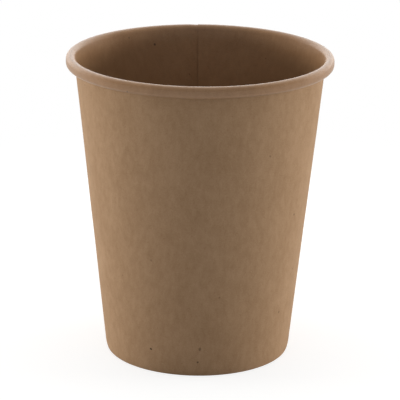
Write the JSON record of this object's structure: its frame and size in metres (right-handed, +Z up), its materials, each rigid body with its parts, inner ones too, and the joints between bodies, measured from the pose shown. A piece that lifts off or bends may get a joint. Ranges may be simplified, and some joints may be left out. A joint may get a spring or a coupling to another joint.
{
  "type": "paper coffee cup",
  "caption": "Open kraft paperboard hot-drink cup: a tapered sidewall with a rolled rim and a lapped seam, and a raised bottom disc sealed into its folded foot.",
  "frame": {"origin": "centre of the foot, on the table", "axes": "+Z up the cup's axis to the open rim; the front is -Y and the lap seam is at the back, +Y"},
  "size_m": [0.08, 0.08, 0.092],
  "materials": {
    "sidewall_board": "uncoated brown kraft outside, thin matt plastic coating on the drink side",
    "bottom_board": "brown kraft with a thin matt plastic coating on the drink side"
  },
  "bodies": {
    "root": {"sidewall": "sidewall_board", "bottom_disc": "bottom_board"}
  },
  "joints": []
}
